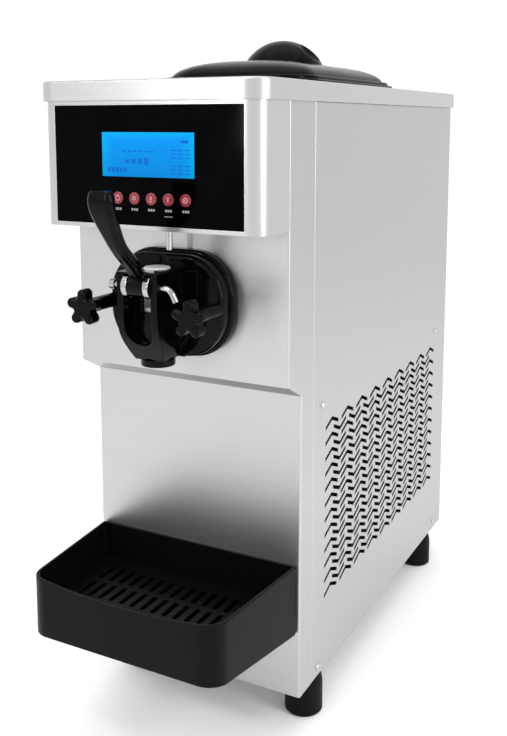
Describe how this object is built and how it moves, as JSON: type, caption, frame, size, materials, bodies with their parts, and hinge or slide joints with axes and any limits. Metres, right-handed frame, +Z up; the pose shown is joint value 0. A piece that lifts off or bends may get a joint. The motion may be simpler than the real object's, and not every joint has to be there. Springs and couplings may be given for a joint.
{
  "type": "ice cream maker",
  "caption": "Countertop soft-serve ice cream maker: stainless cabinet, display head, black draw valve with lever, drip tray, hopper lid and feet",
  "frame": {"origin": "on the surface the feet stand on, below the centre of the whole machine's box", "axes": "+X right as seen from the front, +Y to the back, +Z up"},
  "size_m": [0.248, 0.6468, 0.712],
  "materials": {
    "stainless_casing": "satin brushed stainless sheet",
    "galvanised_sheet": "galvanised structural sheet",
    "bright_steel": "polished stainless",
    "chrome": "mirror chrome",
    "door_plastic": "glossy black moulded plastic",
    "lid_plastic": "glossy black moulded lid",
    "tray_plastic": "satin black moulded plastic",
    "piston_plastic": "off-white acetal",
    "black_glass": "black back-printed panel glass",
    "lcd": "backlit blue liquid crystal display",
    "button_red": "translucent crimson button caps",
    "circuit_board": "green circuit board",
    "rubber": "black moulded rubber",
    "black_enamel": "black enamelled steel",
    "cast_aluminium": "cast and extruded aluminium",
    "copper": "drawn copper tube",
    "foam": "rigid insulation foam",
    "black_plastic": "black moulded plastic"
  },
  "bodies": {
    "cabinet": {"front_shell": "stainless_casing", "right_side_panel": "stainless_casing", "left_side_panel": "stainless_casing", "rear_panel": "stainless_casing", "top_cover": "stainless_casing", "base_pan": "galvanised_sheet", "inner_frame": "galvanised_sheet", "casing_screws": "bright_steel", "feet": "rubber", "foot_bolts": "bright_steel", "display_housing": "stainless_casing", "display_glass": "black_glass", "lcd_module": "lcd", "control_board": "circuit_board", "door_switch": "black_plastic", "freezer_door": "door_plastic", "door_seal": "rubber", "nozzle_cap": "door_plastic", "pivot_rings": "chrome", "pivot_pin": "chrome", "door_studs": "bright_steel", "hopper": "bright_steel", "feed_tube": "bright_steel", "air_tube": "piston_plastic", "tray_bracket": "galvanised_sheet", "freezing_barrel": "bright_steel", "evaporator_jacket": "copper", "foam_block": "foam", "deck": "galvanised_sheet", "gearbox": "black_enamel", "drive_belt": "rubber", "drive_motor": "cast_aluminium", "compressor": "black_enamel", "compressor_mounts": "rubber", "condenser": "cast_aluminium", "fan_shroud": "galvanised_sheet", "fan_motor": "cast_aluminium", "filter_drier": "black_enamel", "refrigerant_lines": "copper", "power_box": "black_plastic", "power_inlet": "black_plastic"},
    "lever": {"draw_lever": "door_plastic"},
    "piston": {"draw_piston": "piston_plastic", "piston_seals": "rubber"},
    "knob_left": {"knob_left": "door_plastic"},
    "knob_right": {"knob_right": "door_plastic"},
    "rod": {"door_rod": "bright_steel"},
    "lid": {"hopper_lid": "lid_plastic"},
    "tray": {"drip_tray": "tray_plastic"},
    "grid": {"drip_grid": "tray_plastic"},
    "beater": {"beater": "bright_steel", "scraper_blades": "piston_plastic"},
    "gearbox_pulley": {"gearbox_pulley": "cast_aluminium"},
    "motor_pulley": {"motor_pulley": "cast_aluminium"},
    "fan": {"fan_blades": "cast_aluminium"},
    "button_standby": {"button_standby": "button_red"},
    "button_chill": {"button_chill": "button_red"},
    "button_single": {"button_single": "button_red"},
    "button_mix": {"button_mix": "button_red"},
    "button_set": {"button_set": "button_red"}
  },
  "joints": [
    {"name": "lever_pull", "type": "hinge", "parent": "cabinet", "child": "lever", "pos_m": [0, -0.2615, 0.4696], "axis": [1, 0, 0], "range_deg": [0, 45], "stiffness_Nm_per_rad": 0.6},
    {"name": "piston_lift", "type": "slide", "parent": "cabinet", "child": "piston", "axis": [0, 0, 1], "range_m": [0, 0.0232]},
    {"name": "knob_left_turn", "type": "hinge", "parent": "cabinet", "child": "knob_left", "pos_m": [-0.058, -0.2575, 0.446], "axis": [0, 1, 0], "continuous": true},
    {"name": "knob_right_turn", "type": "hinge", "parent": "cabinet", "child": "knob_right", "pos_m": [0.058, -0.2575, 0.446], "axis": [0, 1, 0], "continuous": true},
    {"name": "door_rod_press", "type": "slide", "parent": "cabinet", "child": "rod", "axis": [0, 0, 1], "range_m": [0, 0.003], "stiffness_N_per_m": 150, "springref_m": -0.002},
    {"name": "lid_lift", "type": "slide", "parent": "cabinet", "child": "lid", "axis": [0, 0, 1], "range_m": [0, 0.12]},
    {"name": "tray_slide", "type": "slide", "parent": "cabinet", "child": "tray", "axis": [0, -1, 0], "range_m": [0, 0.14]},
    {"name": "grid_lift", "type": "slide", "parent": "tray", "child": "grid", "axis": [0, 0, 1], "range_m": [0, 0.06]},
    {"name": "beater_spin", "type": "hinge", "parent": "cabinet", "child": "beater", "pos_m": [0, -0.0675, 0.446], "axis": [0, 1, 0], "continuous": true},
    {"name": "gearbox_pulley_spin", "type": "hinge", "parent": "cabinet", "child": "gearbox_pulley", "pos_m": [0, 0.1745, 0.446], "axis": [0, 1, 0], "continuous": true},
    {"name": "motor_pulley_spin", "type": "hinge", "parent": "cabinet", "child": "motor_pulley", "pos_m": [0, 0.1745, 0.33], "axis": [0, 1, 0], "continuous": true},
    {"name": "fan_spin", "type": "hinge", "parent": "cabinet", "child": "fan", "pos_m": [0, -0.0475, 0.148], "axis": [0, 1, 0], "continuous": true},
    {"name": "button_standby_press", "type": "slide", "parent": "cabinet", "child": "button_standby", "axis": [0, 1, 0], "range_m": [0, 0.0012], "stiffness_N_per_m": 200},
    {"name": "button_chill_press", "type": "slide", "parent": "cabinet", "child": "button_chill", "axis": [0, 1, 0], "range_m": [0, 0.0012], "stiffness_N_per_m": 200},
    {"name": "button_single_press", "type": "slide", "parent": "cabinet", "child": "button_single", "axis": [0, 1, 0], "range_m": [0, 0.0012], "stiffness_N_per_m": 200},
    {"name": "button_mix_press", "type": "slide", "parent": "cabinet", "child": "button_mix", "axis": [0, 1, 0], "range_m": [0, 0.0012], "stiffness_N_per_m": 200},
    {"name": "button_set_press", "type": "slide", "parent": "cabinet", "child": "button_set", "axis": [0, 1, 0], "range_m": [0, 0.0012], "stiffness_N_per_m": 200}
  ],
  "couplings": [
    {"joint": "piston_lift", "follows": "lever_pull", "m_per_rad": 0.029},
    {"joint": "gearbox_pulley_spin", "follows": "beater_spin", "ratio": 4},
    {"joint": "motor_pulley_spin", "follows": "beater_spin", "ratio": 8}
  ]
}
